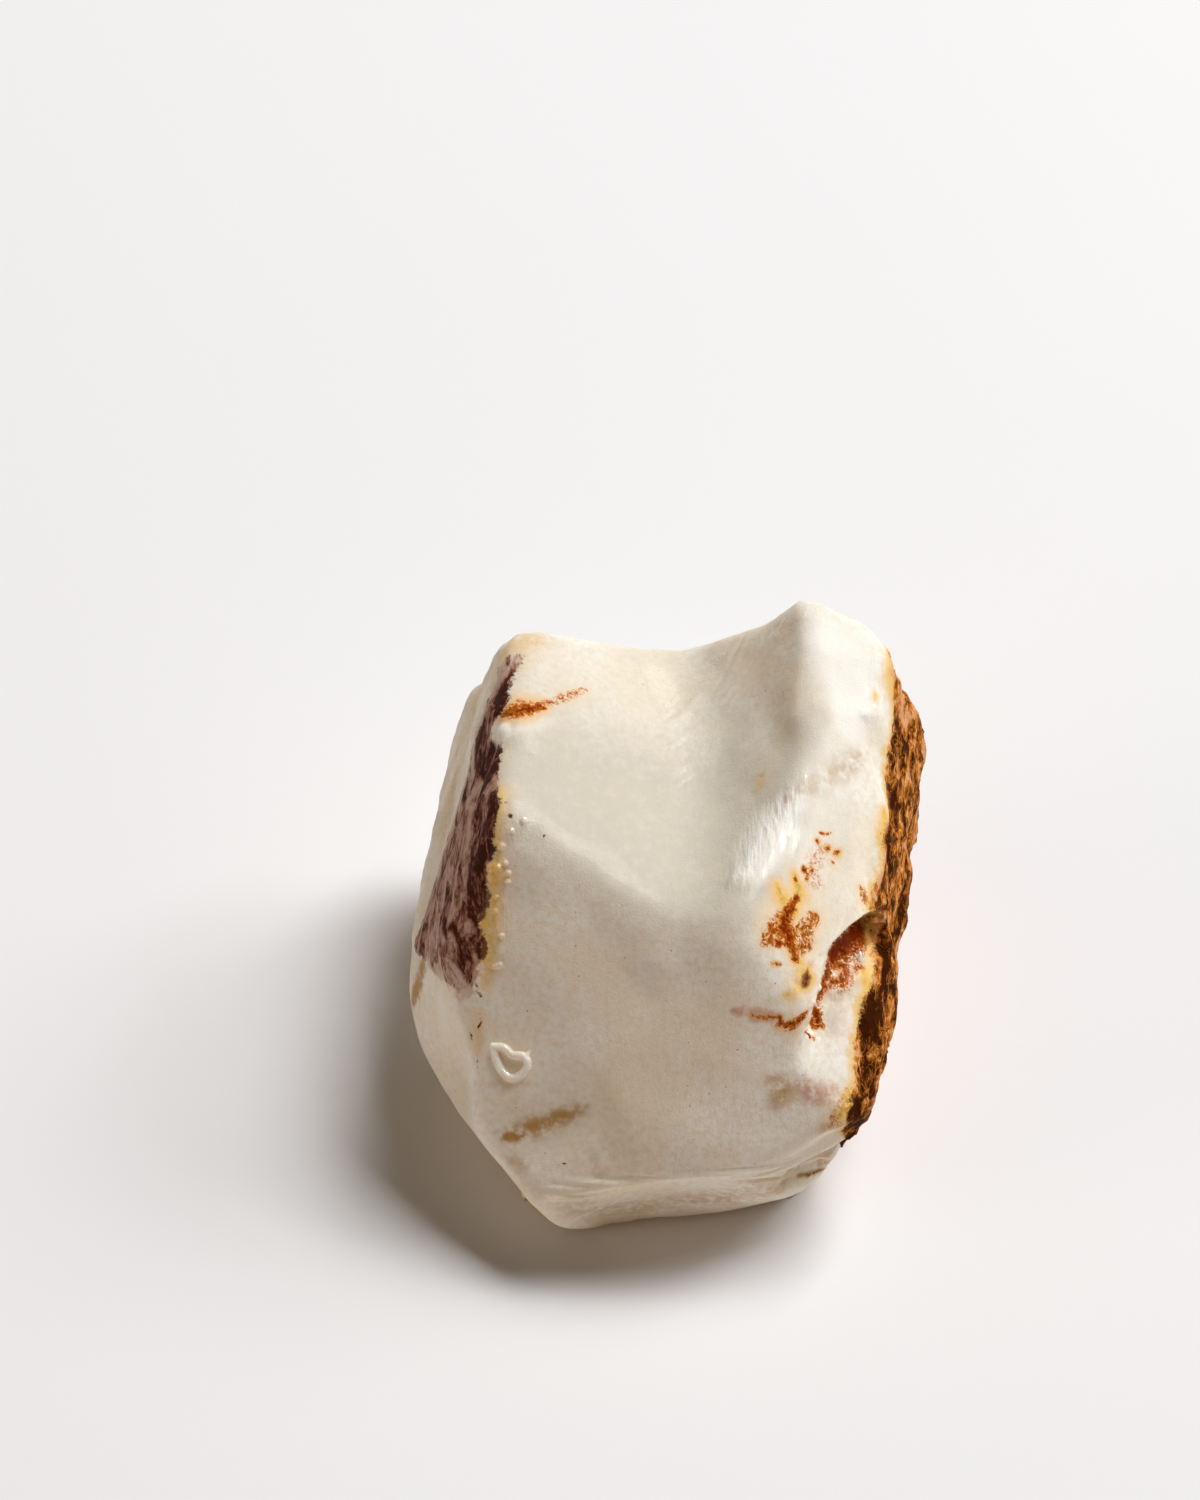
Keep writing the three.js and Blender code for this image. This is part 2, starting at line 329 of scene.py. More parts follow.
HORN_RIDGE = Mark("ridge of the horn", ((802, 600), (806, 640), (804, 680), (798, 718)), 5.5, 0.65)
BEADS = (
    Mark("bead a", ((502, 846),), 0.34, 0.2),
    Mark("bead b", ((499, 866),), 0.22, 0.14),
    Mark("bead c", ((506, 863),), 0.24, 0.15),
    Mark("bead d", ((509, 873),), 0.26, 0.16),
    Mark("bead e", ((508, 881),), 0.24, 0.15),
    Mark("bead f", ((497, 897),), 0.22, 0.13),
    Mark("bead g", ((495, 911),), 0.26, 0.14),
    Mark("bead h", ((502, 936),), 0.26, 0.16),
    Mark("bead i", ((495, 967), (500, 965)), 0.24, 0.15),
    Mark("bead j", ((511, 831),), 0.3, 0.16),
    Mark("bead k", ((523, 822),), 0.3, 0.15),
)

# Steps broken into the stone: the line of the step's top, with the lower side on the left hand as one
# walks along it, then its depth, the width of its wall and how far the lower side runs out, in mm, and
# which share of the line its ends take to run out.
Step = namedtuple("Step", "name line depth wall run ends")
STEPS = (
    Step("wall of the chip", ((884, 906), (866, 914), (848, 927), (831, 945)), 2.0, 0.7, 4.5, 0.12),
    Step(
        "edge of the chip", ((834, 939), (828, 953), (821, 985), (813, 1010), (806, 1036)),
        0.9, 0.4, 3.5, 0.12,
    ),
    Step("upper ledge", ((862, 1128), (826, 1151), (805, 1161), (786, 1170)), 0.9, 0.3, 2.2, 0.12),
    Step("lower ledge", ((832, 1160), (806, 1168), (784, 1174)), 0.7, 0.3, 2.0, 0.12),
    Step(
        "bevel of the foot", ((800, 1166), (783, 1171), (740, 1175), (653, 1182), (558, 1196), (520, 1206)),
        1.5, 2.6, 9.0, 0.4,
    ),
)
CHIP_LIP = ((884, 906), (866, 914), (848, 927), (831, 945), (828, 953), (821, 985), (814, 1004))
LIP_REACH = 2.4  # how far above the lip the chip's rust would reach, in mm
LIP_FADE = (-0.1, 0.2)  # where that rust fades in below the lip, in mm
STEP_EDGE = 0.14
STEP_MARGIN = 0.7  # how far down its wall a step is cut finer, in mm

# Fine ridges: the line that they run along, how far they reach from it, and their height, in mm.
RIDGES = (
    Mark("along the front edge", ((560, 1196), (653, 1184), (740, 1178), (790, 1170)), 1.6, 0.26),
    Mark("down the horn's flank", ((750, 640), (725, 690), (680, 735)), 2.8, 0.11),
    Mark("across the dish", ((740, 720), (650, 790)), 2.5, 0.04),
)
RIDGE_LENGTH = 5.0
RIDGE_WIDTH = 0.34
RIDGE_EDGE = 0.22
RIDGE_FADE = 0.7  # the share of their reach in which ridges fade in
RIDGE_SEED = 23.0

GLOSS = (
    Mark("foot of the horn", ((738, 878), (752, 850), (775, 812), (800, 790)), 2.4, 1.0),
    Mark("right of it", ((790, 850), (805, 800)), 2.0, 0.8),
    Mark("horn's right shoulder", ((880, 660), (883, 712), (868, 716)), 1.2, 1.0),
    Mark("left front edge", ((505, 835), (525, 822)), 0.8, 0.6),
    Mark("gum", ((497, 860), (497, 940), (490, 975)), 1.2, 1.0),
    Mark("chip", ((855, 955), (840, 990)), 1.5, 1.0),
)


def rgb(name, words, default):
    """A colour that a user would change."""
    return FloatVectorProperty(
        name=name, description=words, subtype="COLOR", size=3, min=0, max=1, default=default
    )


def height(name, words, millimetres):
    """A height that a user would change, kept in metres."""
    return FloatProperty(name=name, description=words, unit="LENGTH", min=0, default=millimetres * MM)


def power(name, words, watts):
    """The power of a light that a user would change."""
    return FloatProperty(name=name, description=words, unit="POWER", min=0, default=watts)


class OpalFinish(bpy.types.PropertyGroup):
    """Colours and relief of the stone."""

    cream: rgb("Cream", "Warm parts of the opal", (0.87, 0.775, 0.615))
    # also used for painted light on the lit right faces and the front lip
    milk_and_light: rgb("Milk", "Cool, white parts of the opal", (0.91, 0.87, 0.79))
    # painted shade: the beige laid on faces that look up
    top_shade_beige: rgb("Beige", "Greenish beige of the hollow top", (0.61, 0.55, 0.445))
    # tan and pink also lay painted shade under the ledge and on the bevel of the foot
    tan: rgb("Tan", "Broad soft stains", (0.45, 0.21, 0.012))
    pink_and_shade: rgb("Pink", "Pink and mauve stains", (0.54, 0.205, 0.095))
    glow: rgb("Glow", "Pale orange round the rust", (0.82, 0.47, 0.16))
    gum: rgb("Gum", "Yellow gum between opal and host rock", (0.82, 0.52, 0.13))
    rust: rgb("Rust", "Rust stains", (0.52, 0.14, 0.009))
    dark_rust: rgb("Dark rust", "Heart of the rust stains", (0.20, 0.021, 0.001))
    plum: rgb("Plum", "Dark flecks of the left skin", (0.055, 0.015, 0.008))
    wine: rgb("Wine", "Red-brown of the left skin", (0.22, 0.062, 0.034))
    ash: rgb("Ash", "Pale flecks of the left skin", (0.56, 0.35, 0.26))
    bark: rgb("Bark", "Dark pits of the right skin", (0.05, 0.010, 0.001))
    gold: rgb("Gold", "Pale ribs of the right skin", (0.66, 0.222, 0.028))
    fibre_height: height("Fibre height", "How far the host rock's fibres stand out", 0.24)
    swell_height: height("Swell height", "How far the worn faces swell", 0.09)


class OpalStage(bpy.types.PropertyGroup):
    """Floor and lights of the stage."""

    floor: rgb("Floor", "The pale floor", (0.86, 0.85, 0.85))
    floor_radius: FloatProperty(
        name="Floor radius", description="How far the floor reaches", unit="LENGTH", min=0.1, default=3.0
    )
    window: power("Window", "Power of the high key light", 18.5)
    side_window: power("Side window", "Power of the low key light", 6.5)
    fill: power("Fill", "Power of the warm light in front", 1.8)
    left_fill: power("Left fill", "Power of the light on the left", 3.5)
    room: FloatProperty(name="Room", description="Strength of the light from all round", min=0, default=0.03)


# Seeing: from pixels of the photograph to places on the stone.
def rounded(line):
    """A line of pixels with its corners cut off."""
    cut = [line[0]]
    for start, end in zip(line, line[1:]):
        for share in (0.25, 0.75):
            cut.append(tuple(a + (b - a) * share for a, b in zip(start, end)))
    return (*cut, line[-1])


def stepped(line):
    """The pixels of a line, with its corners rounded and more between them so that no step is long."""
    line = rounded(rounded(line))
    pixels = [line[0]]
    for start, end in zip(line, line[1:]):
        steps = max(1, math.ceil(math.dist(start, end) / TRACE_STEP))
        for step in range(1, steps + 1):
            share = step / steps
            pixels.append(tuple(a + (b - a) * share for a, b in zip(start, end)))
    return pixels


def nearest(points, places):
    """For each point, the number of the nearest place, and how far it is."""
    tree = KDTree(len(places))
    for number, place in enumerate(places):
        tree.insert(place, number)
    tree.balance()
    found = [tree.find(point)[1:] for point in points]
    return np.array([number for number, _ in found]), np.array([distance for _, distance in found])


def within(points, places, reach):
    """Which points lie within reach of a set of places, the place nearest to each, and how far it is."""
    low = places.min(axis=0) - reach
    high = places.max(axis=0) + reach
    inside = np.nonzero(((points >= low) & (points <= high)).all(axis=1))[0]
    if len(inside) == 0:
        return inside, inside, np.empty(0)
    numbers, distances = nearest(points[inside], places)
    close = distances < reach
    return inside[close], numbers[close], distances[close]


class Survey:
    """The stone as the photograph's camera sees it."""

    def __init__(self, surface):
        self.surface = surface
        self.traces = {}

    def seen_at(self, pixel):
        """Where a pixel of the photograph lies on the stone, in mm, and which way the stone faces there."""
        focus = LENS / SENSOR * PHOTO_HEIGHT
        right = (pixel[0] - PHOTO_WIDTH / 2) / focus
        up = (PHOTO_HEIGHT / 2 - pixel[1]) / focus
        sight = (FORWARD + SIDEWARD * right + UPWARD * up).normalized()
        spot, facing, _, _ = self.surface.ray_cast(EYE, sight)
        if spot is None:
            # A pixel just off the outline counts as the nearest place on it.
            spot, facing, _, _ = self.surface.find_nearest(EYE + sight * (AIM - EYE).dot(sight))
        return spot, facing

    def trace(self, line):
        """The places on the stone that a line of pixels passes, in mm, and which way it faces there."""
        if line not in self.traces:
            spots = [self.seen_at(pixel) for pixel in stepped(line)]
            places = np.array([spot for spot, _ in spots])
            facings = np.array([facing for _, facing in spots])
            self.traces[line] = places, facings
        return self.traces[line]

    def beyond_edge(self, points, line):
        """How far each point lies to the left of a line of pixels, walking along it on the stone, in mm."""
        places, facings = self.trace(line)
        ahead = np.gradient(places, axis=0)
        ahead = np.array([ahead[max(0, i - 1):i + 2].mean(axis=0) for i in range(len(ahead))])
        leftward = np.cross(facings, ahead)
        leftward /= np.linalg.norm(leftward, axis=1, keepdims=True)
        numbers, distances = nearest(points, places)
        side = ((points - places[numbers]) * leftward[numbers]).sum(axis=1)
        return np.where(side > 0, 1, -1) * np.minimum(distances, np.abs(side) + PAST_END_SHARE * distances)

    def skin_cover(self, points):
        """How far inside the host rock's edge each point lies, in mm, and whether on the right side."""
        left = np.full(len(points), FAR_OFF)
        right = np.full(len(points), FAR_OFF)
        on_left = points[:, 0] < LEFT_SKIN_LIMIT
        on_right = points[:, 0] > RIGHT_SKIN_LIMIT
        left[on_left] = -self.beyond_edge(points[on_left], LEFT_SKIN_EDGE)
        right[on_right] = self.beyond_edge(points[on_right], RIGHT_SKIN_EDGE)
        return np.maximum(left, right), (right > left).astype(float)

    def marked(self, points, marks):
        """How strong the marks are at each point: full on a mark's line, and nothing past its reach."""
        amounts = np.zeros(len(points))
        for mark in marks:
            places = self.trace(mark.line)[0]
            inside, numbers, distances = within(points, places, mark.reach)
            share = (numbers + 0.5) / len(places)
            reach = mark.reach * (END_WIDTH + (1 - END_WIDTH) * np.sin(math.pi * share))
            amount = mark.strength * np.clip(1 - distances / reach, 0, 1)
            amounts[inside] = np.maximum(amounts[inside], amount)
        return amounts

    def domed(self, points, marks):
        """The height of round lumps at each point, in mm."""
        heights = np.zeros(len(points))
        for mark in marks:
            inside, _, distances = within(points, self.trace(mark.line)[0], mark.reach)
            dome = (1 - (distances / mark.reach) ** 2) ** DOME_POWER
            heights[inside] += mark.strength * dome
        return heights

    def stepped_down(self, points):
        """How far the steps lower each point, in mm."""
        depths = np.zeros(len(points))
        for step in STEPS:
            places = self.trace(step.line)[0]
            inside, numbers, _ = within(points, places, step.run)
            side = self.beyond_edge(points[inside], step.line)
            share = (numbers + 0.5) / len(places)
            ends = smooth_step(np.minimum(share, 1 - share), 0, step.ends)
            fall = np.clip(side / step.wall, 0, 1)
            drop = fall * (2 - fall) * (1 - smooth_step(side, step.wall, step.run))
            depths[inside] = np.maximum(depths[inside], step.depth * ends * drop)
        return depths

    def ridged(self, points, marks):
        """The height of fine ridges at each point, in mm."""
        heights = np.zeros(len(points))
        for mark in marks:
            places, facings = self.trace(mark.line)
            along = places[-1] - places[0]
            along /= np.linalg.norm(along)
            across = np.cross(facings.mean(axis=0), along)
            inside, _, distances = within(points, places, mark.reach)
            runs = np.column_stack((points[inside] @ along, points[inside] @ across, np.zeros(len(inside))))
            fade = smooth_step(1 - distances / mark.reach, 0, RIDGE_FADE)
            ridges = rough(runs, (RIDGE_LENGTH, RIDGE_WIDTH, 1), RIDGE_SEED)
            heights[inside] += mark.strength * fade * ridges
        return heights

    def longest_step_edges(self, points):
        """The longest edge that the mesh may have at each point for its steps, in mm."""
        longest = np.full(len(points), COARSE_EDGE)
        for step in STEPS:
            inside = within(points, self.trace(step.line)[0], min(step.wall, STEP_MARGIN) + MARK_MARGIN)[0]
            longest[inside] = STEP_EDGE
        return longest

    def above_lip(self, points):
        """1 just above the lip of the chip, where its rust ends, and 0 elsewhere."""
        inside, _, _ = within(points, self.trace(CHIP_LIP)[0], LIP_REACH)
        above = np.zeros(len(points))
        above[inside] = 1 - smooth_step(self.beyond_edge(points[inside], CHIP_LIP), *LIP_FADE)
        return above

    def longest_mark_edges(self, points):
        """The longest edge that the mesh may have at each point, in mm."""
        longest = np.where(self.skin_cover(points)[0] > -SKIN_MARGIN, FINE_EDGE, COARSE_EDGE)
        for mark in (*RUST, *CHIP_RUST, *OCHRE, *DARK, *TAN_AND_SHADE, *PINK_AND_SHADE):
            inside = within(points, self.trace(mark.line)[0], mark.reach + MARK_MARGIN)[0]
            longest[inside] = np.minimum(longest[inside], max(FINEST_EDGE, mark.reach / STAIN_CUTS))
        for mark in RIDGES:
            inside = within(points, self.trace(mark.line)[0], mark.reach)[0]
            longest[inside] = np.minimum(longest[inside], RIDGE_EDGE)
        for mark in (*LUMPS, *BEADS, HORN_RIDGE, RING):
            inside = within(points, self.trace(mark.line)[0], mark.reach + MARK_MARGIN)[0]
            edge = np.clip(mark.reach / LUMP_CUTS, BEAD_EDGE, FINE_EDGE)
            longest[inside] = np.minimum(longest[inside], edge)
        return longest


def rough(points, sizes, seed):
    """Smooth noise from -1 to 1 at each point, with the given lengths in mm along x, y and z."""
    places = points / np.array(sizes) + seed
    return np.array([noise.noise(place) for place in places])


def smooth_step(values, low, high):
    """0 below low, 1 above high, and an easy curve between."""
    share = np.clip((values - low) / (high - low), 0, 1)
    return share * share * (3 - 2 * share)


def along_fibres(points):
    """Points turned so that their y runs along the host rock's fibres."""
    turned = points.copy()
    turned[:, 1] = points[:, 1] * math.cos(FIBRE_TILT) + points[:, 2] * math.sin(FIBRE_TILT)
    turned[:, 2] = -points[:, 1] * math.sin(FIBRE_TILT) + points[:, 2] * math.cos(FIBRE_TILT)
    return turned


def strayed(points):
    """Points moved about a little, so that what is measured from them has ragged edges."""
    moved = points.copy()
    for axis in range(3):
        later = STRAY_SEED_STEP * axis
        moved[:, axis] += STRAY * rough(points, (STRAY_LENGTH,) * 3, BROAD_STRAY_SEED + later)
        moved[:, axis] += STRAY / 2 * rough(points, (STRAY_LENGTH / 3,) * 3, FINE_STRAY_SEED + later)
    return moved


# The stone's mesh.
def copied_solid():
    """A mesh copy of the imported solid, merged, in millimetres."""
    bm = bmesh.new()
    bm.from_mesh(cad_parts["opal"].data)
    bmesh.ops.remove_doubles(bm, verts=bm.verts, dist=1e-6)
    bmesh.ops.scale(bm, vec=(1 / MM,) * 3, verts=bm.verts)
    return bm


def cut_finer(bm, edges):
    """Cuts edges in two, rounding the faces a little, and leaves only triangles."""
    bmesh.ops.subdivide_edges(bm, edges=edges, cuts=1, smooth=1.0)
    bmesh.ops.triangulate(bm, faces=[face for face in bm.faces if len(face.verts) > 3])


def smoothed(bm, passes):
    """Smooths a mesh, apart from the plane that the stone rests on."""
    above = [vert for vert in bm.verts if vert.co.z > REST]
    for _ in range(passes):
        bmesh.ops.smooth_vert(bm, verts=above, factor=0.5, use_axis_x=True, use_axis_y=True, use_axis_z=True)


def long_edges(bm, longest):
    """The edges of a mesh that are longer than a rule lets them be."""
    bm.verts.index_update()
    places = np.array([vert.co for vert in bm.verts])
    edges = list(bm.edges)
    ends = np.array([[vert.index for vert in edge.verts] for edge in edges])
    starts = places[ends[:, 0]]
    stops = places[ends[:, 1]]
    lengths = np.linalg.norm(stops - starts, axis=1)
    too_long = lengths > longest((starts + stops) / 2)
    return [edges[i] for i in np.nonzero(too_long)[0]]


def cut_by(bm, longest):
    """Cuts a mesh finer until its edges are short enough for a rule, or nearly so."""
    for _ in range(CUTTING_PASSES):
        edges = long_edges(bm, longest)
        if edges:
            cut_finer(bm, edges)


def lowered(bm, survey):
    """Breaks the steps into a mesh. What lies in the resting plane stays in it."""
    bm.normal_update()
    verts = list(bm.verts)
    depths = survey.stepped_down(np.array([vert.co for vert in verts]))
    for vert, depth in zip(verts, depths):
        resting = vert.co.z < REST
        vert.co -= vert.normal * depth
        vert.co.z = 0 if resting else max(vert.co.z, 0)


def fine_mesh():
    """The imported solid's mesh with its steps, finely cut where it has detail, in mm, and a survey of it."""
    bm = copied_solid()
    cut_finer(bm, list(bm.edges))
    smoothed(bm, 2)
    plain = Survey(BVHTree.FromBMesh(bm))
    cut_by(bm, plain.longest_step_edges)
    lowered(bm, plain)
    survey = Survey(BVHTree.FromBMesh(bm))
    cut_by(bm, survey.longest_mark_edges)
    bmesh.ops.recalc_face_normals(bm, faces=bm.faces)
    mesh = bpy.data.meshes.new("rough_opal")
    bm.to_mesh(mesh)
    bm.free()
    return mesh, survey


def numbers_of(collection, name):
    """The 3-D values of a mesh's vertices, as an array."""
    flat = np.empty(len(collection) * 3)
    collection.foreach_get(name, flat)
    return flat.reshape(-1, 3)


def relief(survey, points, cover, side, finish):
    """The height of the fine relief at each point, in mm."""
    on_rock = smooth_step(cover, *SKIN_FADE)
    fibres = along_fibres(points)
    ribs = 1 - 2 * np.abs(rough(fibres, *RIBS))
    fibrous = ribs - 0.6 + 1.6 * rough(fibres, *KNOBS) + 0.6 * rough(fibres, *GRIT)
    heights = finish.fibre_height / MM * on_rock * np.where(side > 0.5, 1, LEFT_RELIEF) * fibrous

    swell = rough(points, *SWELL) + 0.4 * rough(points, *RIPPLE)
    heights += finish.swell_height / MM * (1 - on_rock) * swell

    heights += survey.ridged(points, RIDGES)
    heights += survey.domed(points, LUMPS)
    heights += survey.domed(points, BEADS)
    heights += HORN_RIDGE.strength * survey.marked(points, [HORN_RIDGE._replace(strength=1)]) ** 2
    inside, _, distances = within(points, survey.trace(RING.line)[0], RING.reach)
    heights[inside] += RING.strength * np.sqrt(1 - (distances / RING.reach) ** 2)
    return heights


def keep(mesh, name, amounts):
    """Keeps a number for each vertex, for the materials to read."""
    attribute = mesh.attributes.new(name, "FLOAT", "POINT")
    attribute.data.foreach_set("value", amounts.astype(np.float32))


def rock_amounts(survey, points, cover, side):
    """How dark the host rock is at each point, and how far inside its worn edge the point lies, in mm."""
    band = -survey.beyond_edge(points, LEFT_BAND_EDGE)
    dark_left = (1 - smooth_step(band, *BAND_FADE)) * (1 - survey.marked(points, LEFT_FADES))
    dark_left *= 1 - LEFT_PALING * smooth_step(cover, *LEFT_PALING_DEPTHS)
    dark_right = smooth_step(cover, *RIGHT_DARK_DEPTHS)
    dark_right *= 1 - RIGHT_PALING * smooth_step(cover, *RIGHT_PALING_DEPTHS)
    dark_right -= survey.marked(points, [RIGHT_TOP_END])
    worn = np.minimum(cover, THINNING * (dark_left - THIN_DARKNESS))
    return np.where(side > 0.5, dark_right, dark_left), np.where(side > 0.5, cover, worn)


def stain_and_light_amounts(survey, points):
    """How strong each kind of stain, painted light and painted shade, its glow, the wet and the gloss are at
    each point, by name.
    """
    ragged = strayed(points)
    amounts = {name: survey.marked(ragged, marks) for name, marks in STAINS_AND_PAINTED_LIGHT.items()}
    in_chip = survey.marked(ragged, CHIP_RUST) * (1 - survey.above_lip(points))
    amounts["rust"] = np.maximum(amounts["rust"], in_chip)
    glowing = [
        mark._replace(reach=mark.reach * HALO_REACH, strength=min(1, mark.strength))
        for mark in (*RUST, *OCHRE)
    ]
    amounts["glow"] = survey.marked(ragged, glowing)
    wet = [mark._replace(reach=mark.reach * WET_MARGIN, strength=1) for mark in (*BEADS, RING)]
    amounts["wet"] = survey.marked(points, wet)
    amounts["gloss"] = survey.marked(ragged, GLOSS)
    return amounts


def stone_mesh(finish):
    """The finished mesh of the stone, in metres, with the numbers that its materials read."""
    mesh, survey = fine_mesh()
    points = numbers_of(mesh.vertices, "co")
    normals = numbers_of(mesh.vertex_normals, "vector")
    cover, side = survey.skin_cover(points)
    dark, skin = rock_amounts(survey, points, cover, side)
    # painted shade on faces that look up, fading towards the back
    painted_top_shade = smooth_step(normals[:, 2], *TOP_SHADE_SLOPES)
    painted_top_shade *= 1 - TOP_SHADE_LOSS * smooth_step(points[:, 1], *TOP_SHADE_FADES)
    stains_and_light = stain_and_light_amounts(survey, points)
    kept_skin = np.clip(skin, -KEPT_DEPTH, KEPT_DEPTH)
    for name, amounts in {"skin": kept_skin, "side": side, "dark": dark, "painted_top_shade": painted_top_shade, **stains_and_light}.items():
        keep(mesh, name, amounts)

    heights = np.where(points[:, 2] < REST, 0, relief(survey, points, cover, side, finish))
    moved = points + normals * heights[:, None]
    moved[:, 2] = np.maximum(moved[:, 2], 0)
    mesh.vertices.foreach_set("co", (moved * MM).ravel())
    mesh.update()

    corners = np.empty(len(mesh.polygons) * 3, np.int32)
    mesh.polygons.foreach_get("vertices", corners)
    corners = corners.reshape(-1, 3)
    rust = stains_and_light["rust"].astype(np.float32)
    dry = (skin[corners].min(axis=1) > DRY_SKIN) | (rust[corners].min(axis=1) > DRY_RUST)
    mesh.polygons.foreach_set("material_index", dry.astype(np.int32))
    mesh.shade_smooth()
    return mesh


# The materials.
class Weaver:
    """Adds nodes to a tree: an input that is a socket is linked, and any other is set."""

    def __init__(self, tree):
        self.tree = tree

    def add(self, kind, inputs=None, **settings):
        node = self.tree.nodes.new(kind)
        for name, value in settings.items():
            setattr(node, name, value)
        for name, value in (inputs or {}).items():
            if isinstance(value, bpy.types.NodeSocket):
                self.tree.links.new(value, node.inputs[name])
            else:
                node.inputs[name].default_value = value
        return node

    def attribute(self, name):
        return self.add("ShaderNodeAttribute", attribute_name=name).outputs["Fac"]

    def mapped(self, vector, **changes):
        return self.add("ShaderNodeMapping", {"Vector": vector, **changes}).outputs[0]

    def maths(self, operation, first, second=0.0, clamp=False):
        inputs = {0: first, 1: second}
        return self.add("ShaderNodeMath", inputs, operation=operation, use_clamp=clamp).outputs[0]

    def times_add(self, value, factor, extra):
        inputs = {0: value, 1: factor, 2: extra}
        return self.add("ShaderNodeMath", inputs, operation="MULTIPLY_ADD").outputs[0]

    def step(self, value, low, high):
        inputs = {"Value": value, "From Min": low, "From Max": high}
        return self.add("ShaderNodeMapRange", inputs, interpolation_type="SMOOTHSTEP").outputs["Result"]

    def mix(self, share, first, second, blend="MIX"):
        inputs = {0: share, 6: first, 7: second}
        return self.add("ShaderNodeMix", inputs, data_type="RGBA", blend_type=blend).outputs[2]

    def between(self, share, first, second):
        return self.add("ShaderNodeMix", {0: share, 2: first, 3: second}).outputs[0]

    def noise(self, vector, scale, detail=2.0, roughness=0.5, distortion=0.0):
        inputs = {"Scale": scale, "Detail": detail, "Roughness": roughness, "Distortion": distortion}
        return self.add("ShaderNodeTexNoise", {"Vector": vector, **inputs}).outputs[0]

    def frayed(self, amount, noise, strength):
        """An amount of stain that noise adds to and takes from, but only where there is some."""
        change = self.times_add(noise, strength, -strength / 2)
        return self.times_add(change, self.step(amount, 0.0, 0.3), amount)

    def ramp(self, value, stops):
        node = self.add("ShaderNodeValToRGB", {"Fac": value})
        elements = node.color_ramp.elements
        while len(elements) < len(stops):
            elements.new(0.5)
        for element, (place, colour) in zip(elements, stops):
            element.position = place
            element.color = (*colour, 1)
        return node.outputs["Color"]


def blended(first, second, share):
    """A colour between two colours."""
    return tuple(a + (b - a) * share for a, b in zip(first, second))


def opaque(colour):
    """A colour as a socket takes it."""
    return (*colour, 1)


